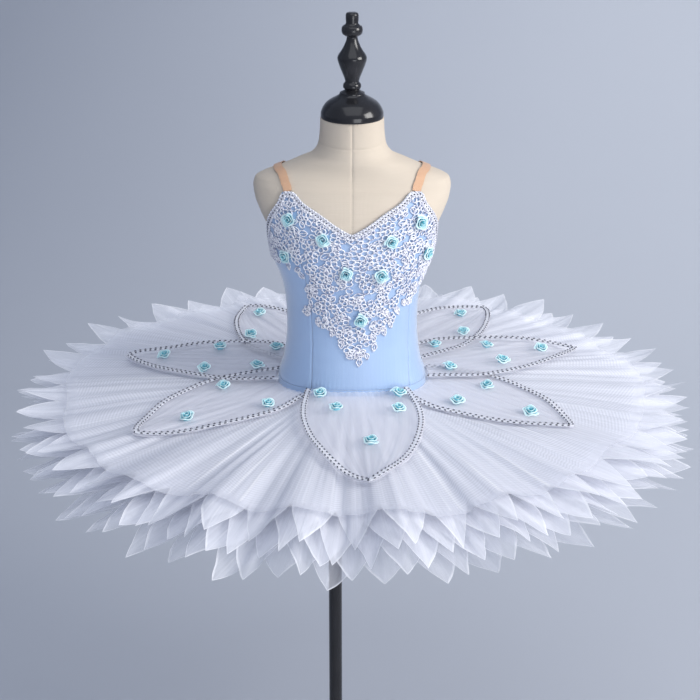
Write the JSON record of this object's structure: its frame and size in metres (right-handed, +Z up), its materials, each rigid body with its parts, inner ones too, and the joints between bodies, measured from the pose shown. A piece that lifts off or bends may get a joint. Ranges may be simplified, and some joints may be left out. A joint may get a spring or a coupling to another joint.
{
  "type": "child's pancake tutu ballet dress on a dress form stand",
  "caption": "Camisole bodice with lace, braid and rosettes over a flat pleated net skirt with sheer petals, worn by a limbless dress form on a pole stand",
  "frame": {"origin": "on the floor at the underside of the stand's base, below the middle of the dress form", "axes": "+X to the right seen from the front, +Y to the back of the dress, so the dress faces -Y, +Z up"},
  "size_m": [0.94, 0.954, 1.2117],
  "materials": {
    "linen": "matte",
    "black_gloss": "gloss",
    "blue_satin": "satin",
    "elastic": "matte",
    "silver": "gloss",
    "lace": "satin",
    "net": "matte",
    "petal": "satin",
    "rosette": "satin"
  },
  "bodies": {
    "root": {"form_torso": "linen", "neck_cap": "black_gloss", "finial": "black_gloss", "stand_pole": "black_gloss", "stand_base": "black_gloss", "bodice_centre_front": "blue_satin", "bodice_side_front_left": "blue_satin", "bodice_side_front_right": "blue_satin", "bodice_back": "blue_satin", "brief_front": "blue_satin", "brief_back": "blue_satin", "brief_gusset": "blue_satin", "strap_left": "elastic", "strap_right": "elastic", "braid_neck_front": "silver", "braid_neck_back": "silver", "braid_armhole_left": "silver", "braid_armhole_right": "silver", "lace_applique": "lace", "rosette_bodice_1": "rosette", "rosette_bodice_2": "rosette", "rosette_bodice_3": "rosette", "rosette_bodice_4": "rosette", "rosette_bodice_5": "rosette", "rosette_bodice_6": "rosette", "rosette_bodice_7": "rosette", "rosette_bodice_8": "rosette", "rosette_bodice_9": "rosette", "net_layer_1": "net", "net_layer_2": "net", "net_layer_3": "net", "net_layer_4": "net", "net_layer_5": "net", "net_layer_6": "net", "petal_front": "petal", "petal_front_left": "petal", "petal_left": "petal", "petal_back_left": "petal", "petal_back_right": "petal", "petal_right": "petal", "petal_front_right": "petal", "petal_braid_front": "silver", "petal_braid_front_left": "silver", "petal_braid_left": "silver", "petal_braid_back_left": "silver", "petal_braid_back_right": "silver", "petal_braid_right": "silver", "petal_braid_front_right": "silver"}
  },
  "joints": []
}
